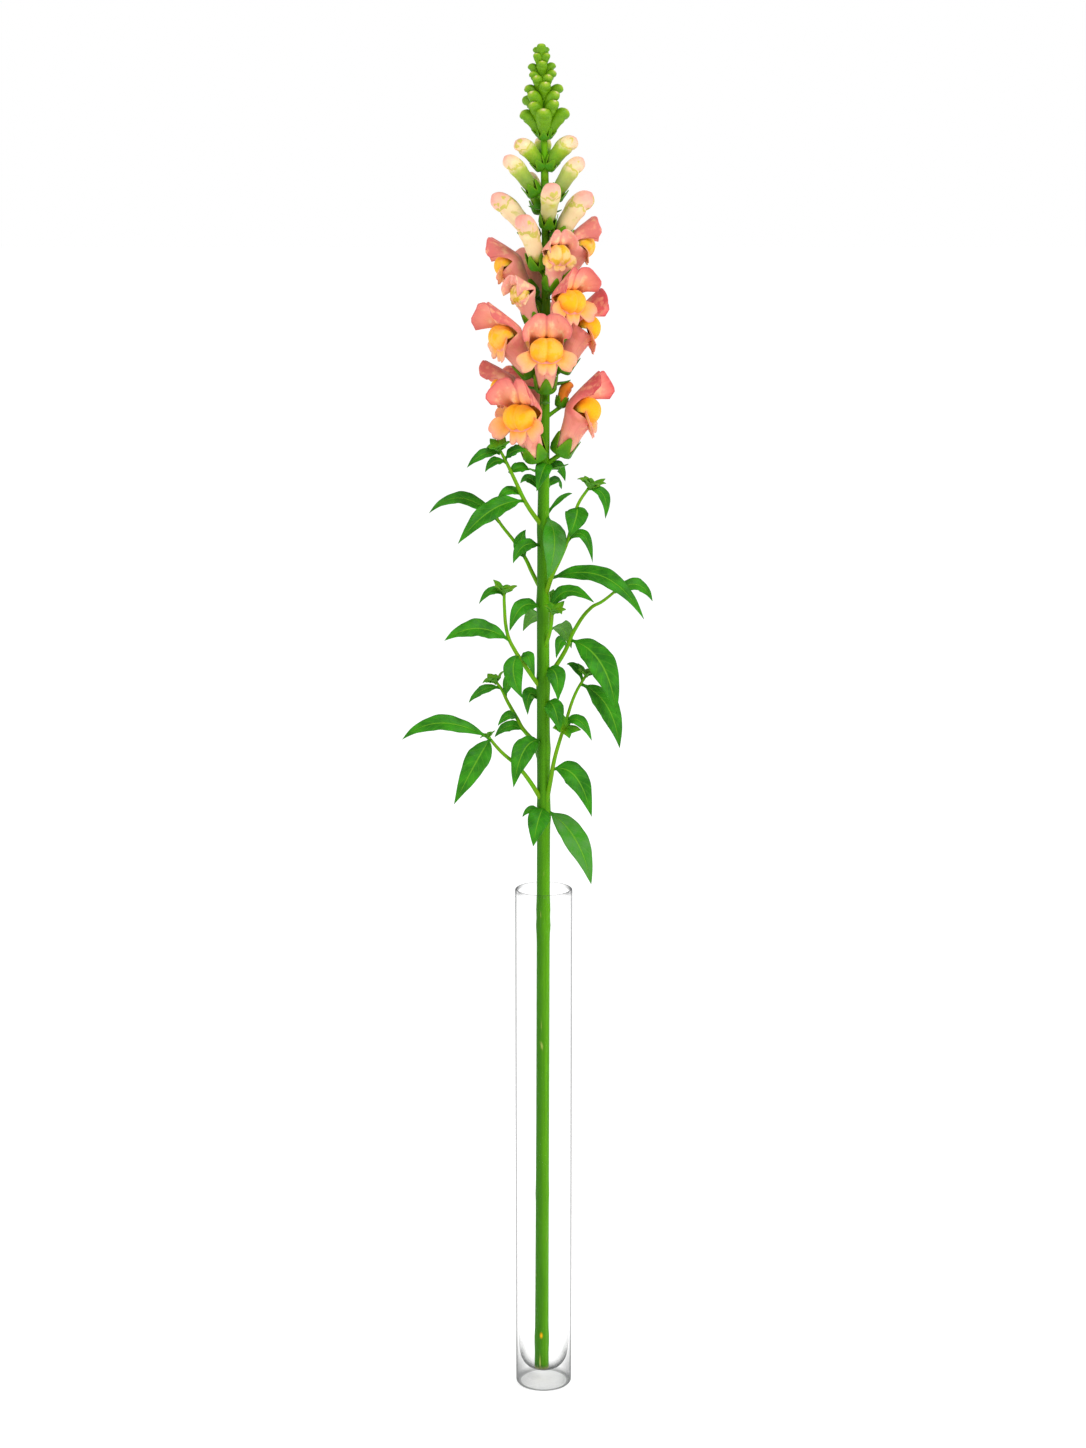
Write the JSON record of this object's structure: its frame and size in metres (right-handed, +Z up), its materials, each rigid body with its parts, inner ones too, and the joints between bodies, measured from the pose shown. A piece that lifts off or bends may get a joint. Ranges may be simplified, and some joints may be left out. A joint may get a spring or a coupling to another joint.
{
  "type": "snapdragon stem in a vase",
  "caption": "Single cut snapdragon stem in a tall narrow clear glass vase, with open florets, a tapering bud spike and leafy side shoots.",
  "frame": {"origin": "centre of the vase's bottom face", "axes": "+Z up along the stem and the vase's axis; -Y is the front of the plant, +X its right"},
  "size_m": [0.1413, 0.0759, 0.7728],
  "materials": {
    "vase": "clear polished soda glass",
    "stem": "smooth fresh green stem",
    "head": "satin green buds",
    "foliage": "satin green leaf",
    "corolla": "soft salmon pink petal",
    "lip": "soft yellow and peach petal",
    "bud": "soft peach and green bud"
  },
  "bodies": {
    "root": {"bud_01": "bud", "bud_02": "bud", "bud_03": "bud", "bud_04": "bud", "bud_05": "bud", "bud_06": "bud", "bud_07": "bud", "bud_08": "bud", "bud_09": "bud", "bud_10": "bud", "bud_head": "head", "corolla_01": "corolla", "corolla_02": "corolla", "corolla_03": "corolla", "corolla_04": "corolla", "corolla_05": "corolla", "corolla_06": "corolla", "corolla_07": "corolla", "corolla_08": "corolla", "corolla_09": "corolla", "corolla_10": "corolla", "corolla_11": "corolla", "corolla_12": "corolla", "corolla_13": "corolla", "leaf_01": "foliage", "leaf_02": "foliage", "leaf_03": "foliage", "leaf_04": "foliage", "leaf_05": "foliage", "leaf_06": "foliage", "leaf_07": "foliage", "leaf_08": "foliage", "lip_01": "lip", "lip_02": "lip", "lip_03": "lip", "lip_04": "lip", "lip_05": "lip", "lip_06": "lip", "lip_07": "lip", "lip_08": "lip", "lip_09": "lip", "lip_10": "lip", "lip_11": "lip", "lip_12": "lip", "lip_13": "lip", "main_stem": "stem", "shoot_01": "foliage", "shoot_02": "foliage", "shoot_03": "foliage", "shoot_04": "foliage", "shoot_05": "foliage", "shoot_06": "foliage", "shoot_07": "foliage", "shoot_08": "foliage", "shoot_09": "foliage", "shoot_10": "foliage", "vase": "vase"}
  },
  "joints": []
}
